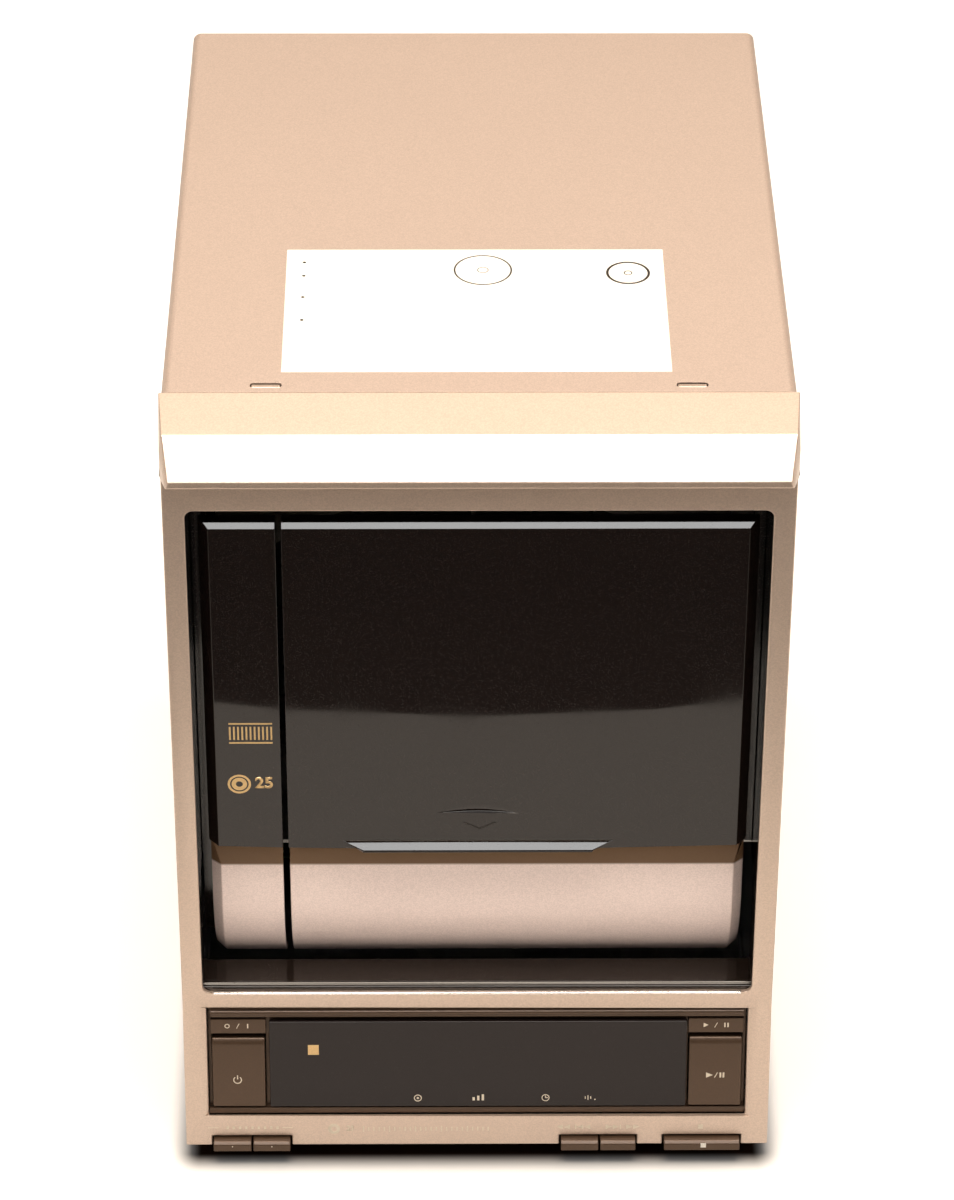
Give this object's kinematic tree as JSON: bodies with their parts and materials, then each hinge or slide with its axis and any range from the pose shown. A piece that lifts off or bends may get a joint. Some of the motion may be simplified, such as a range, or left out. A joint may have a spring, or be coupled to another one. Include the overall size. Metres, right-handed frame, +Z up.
{
  "type": "rotary disc changer",
  "caption": "Upright disc changer with a tilting front door, a rotary disc rack with radial grooves, push buttons and an upright player unit.",
  "frame": {"origin": "middle of the bounding box at floor level, under the feet", "axes": "+Z up, front faces -Y, +X to the right seen from the front"},
  "size_m": [0.282, 0.3888, 0.412],
  "materials": {
    "cover_paint": "fine textured satin paint",
    "steel_sheet": "zinc plated sheet",
    "bezel_silver": "metallic silver paint on moulded plastic",
    "dark_gloss": "glossy smoked dark",
    "black_plastic": "matte moulded",
    "bronze_plastic": "metallic brown",
    "rubber_pad": "matte",
    "display_glass": "dark tube",
    "board_green": "solder mask",
    "rack_grey": "moulded grey",
    "white_nylon": "nylon",
    "motor_steel": "rolled can",
    "brass_gold": "gold flash",
    "ground_steel": "ground",
    "lens_glass": "coated"
  },
  "bodies": {
    "chassis": {"cabinet_cover": "cover_paint", "base_pan": "steel_sheet", "rear_panel": "steel_sheet", "feet": "black_plastic", "foot_pads": "rubber_pad", "front_bezel": "bezel_silver", "bay_surround": "dark_gloss", "strip_window": "dark_gloss", "strip_panel": "bezel_silver", "door_hinge_pins": "ground_steel", "control_panel": "bronze_plastic", "legend_plates": "bronze_plastic", "display_window": "dark_gloss", "display_tube": "display_glass", "control_board": "board_green", "tact_switches": "black_plastic", "key_rail": "black_plastic", "side_frame_left": "steel_sheet", "side_frame_right": "steel_sheet", "bay_deck": "steel_sheet", "rack_post": "ground_steel", "motor_bracket": "steel_sheet", "rack_motor": "motor_steel", "player_bridge": "steel_sheet", "lift_pin": "ground_steel", "player_chassis": "black_plastic", "spindle_motor": "motor_steel", "clamp_pin": "ground_steel", "guide_rods": "ground_steel", "feed_axle": "ground_steel", "power_transformer": "motor_steel", "main_board": "board_green", "board_parts": "black_plastic", "jack_block": "black_plastic", "jack_shells": "brass_gold", "cord_gland": "black_plastic", "case_screws": "black_plastic"},
    "door": {"door_window": "dark_gloss", "door_lower_panel": "bezel_silver", "door_ledge": "dark_gloss", "door_frame": "black_plastic"},
    "power_button": {"power_button": "bronze_plastic"},
    "play_button": {"play_button": "bronze_plastic"},
    "disc_back_key": {"disc_back_key": "bronze_plastic"},
    "disc_next_key": {"disc_next_key": "bronze_plastic"},
    "skip_back_key": {"skip_back_key": "bronze_plastic"},
    "skip_next_key": {"skip_next_key": "bronze_plastic"},
    "stop_key": {"stop_key": "bronze_plastic"},
    "rack": {"disc_rack": "rack_grey", "rack_gear": "white_nylon", "rack_cap": "rack_grey"},
    "drive_gear": {"drive_gear": "white_nylon"},
    "motor_pinion": {"motor_pinion": "brass_gold"},
    "lift_lever": {"lift_lever": "white_nylon"},
    "turntable": {"turntable": "white_nylon"},
    "clamp": {"clamp_arm": "black_plastic", "clamp_puck": "black_plastic"},
    "pickup": {"pickup_sled": "black_plastic", "pickup_lens": "lens_glass"},
    "feed_gear": {"feed_gear": "white_nylon"}
  },
  "joints": [
    {"name": "door_hinge", "type": "hinge", "parent": "chassis", "child": "door", "pos_m": [0, -0.09513, 0.138], "axis": [1, 0, 0], "range_deg": [0, 50]},
    {"name": "power_button_press", "type": "slide", "parent": "chassis", "child": "power_button", "axis": [0, 0.9866, -0.1629], "range_m": [0, 0.0016], "stiffness_N_per_m": 500, "springref_m": -0.0012},
    {"name": "play_button_press", "type": "slide", "parent": "chassis", "child": "play_button", "axis": [0, 0.9866, -0.1629], "range_m": [0, 0.0016], "stiffness_N_per_m": 500, "springref_m": -0.0012},
    {"name": "disc_back_key_press", "type": "slide", "parent": "chassis", "child": "disc_back_key", "axis": [0, 0.9866, -0.1629], "range_m": [0, 0.0016], "stiffness_N_per_m": 500, "springref_m": -0.0012},
    {"name": "disc_next_key_press", "type": "slide", "parent": "chassis", "child": "disc_next_key", "axis": [0, 0.9866, -0.1629], "range_m": [0, 0.0016], "stiffness_N_per_m": 500, "springref_m": -0.0012},
    {"name": "skip_back_key_press", "type": "slide", "parent": "chassis", "child": "skip_back_key", "axis": [0, 0.9866, -0.1629], "range_m": [0, 0.0016], "stiffness_N_per_m": 500, "springref_m": -0.0012},
    {"name": "skip_next_key_press", "type": "slide", "parent": "chassis", "child": "skip_next_key", "axis": [0, 0.9866, -0.1629], "range_m": [0, 0.0016], "stiffness_N_per_m": 500, "springref_m": -0.0012},
    {"name": "stop_key_press", "type": "slide", "parent": "chassis", "child": "stop_key", "axis": [0, 0.9866, -0.1629], "range_m": [0, 0.0016], "stiffness_N_per_m": 500, "springref_m": -0.0012},
    {"name": "rack_spin", "type": "hinge", "parent": "chassis", "child": "rack", "pos_m": [0, -0.01064, 0.157], "axis": [0, 0, 1], "continuous": true},
    {"name": "drive_gear_spin", "type": "hinge", "parent": "chassis", "child": "drive_gear", "pos_m": [0.07922, 0.10251, 0.152], "axis": [0, 0, 1], "continuous": true},
    {"name": "motor_pinion_spin", "type": "hinge", "parent": "chassis", "child": "motor_pinion", "pos_m": [0.0491, 0.10251, 0.152], "axis": [0, 0, 1], "continuous": true},
    {"name": "lift_lever_swing", "type": "hinge", "parent": "chassis", "child": "lift_lever", "pos_m": [0, 0.13137, 0.2355], "axis": [-1, 0, 0], "range_deg": [0, 60]},
    {"name": "turntable_spin", "type": "hinge", "parent": "chassis", "child": "turntable", "pos_m": [0.003, 0.06236, 0.3435], "axis": [1, 0, 0], "continuous": true},
    {"name": "clamp_swing", "type": "hinge", "parent": "chassis", "child": "clamp", "pos_m": [-0.016, 0.13037, 0.3435], "axis": [0, 0, -1], "range_deg": [0, 12]},
    {"name": "pickup_slide", "type": "slide", "parent": "chassis", "child": "pickup", "axis": [0, -1, 0], "range_m": [0, 0.034]},
    {"name": "feed_gear_spin", "type": "hinge", "parent": "chassis", "child": "feed_gear", "pos_m": [0.014, 0.02037, 0.38342], "axis": [-1, 0, 0], "range_deg": [-5, 170]}
  ],
  "couplings": [
    {"joint": "drive_gear_spin", "follows": "rack_spin", "ratio": -6.6667},
    {"joint": "motor_pinion_spin", "follows": "rack_spin", "ratio": 26.667},
    {"joint": "feed_gear_spin", "follows": "pickup_slide", "rad_per_m": 83.333}
  ]
}
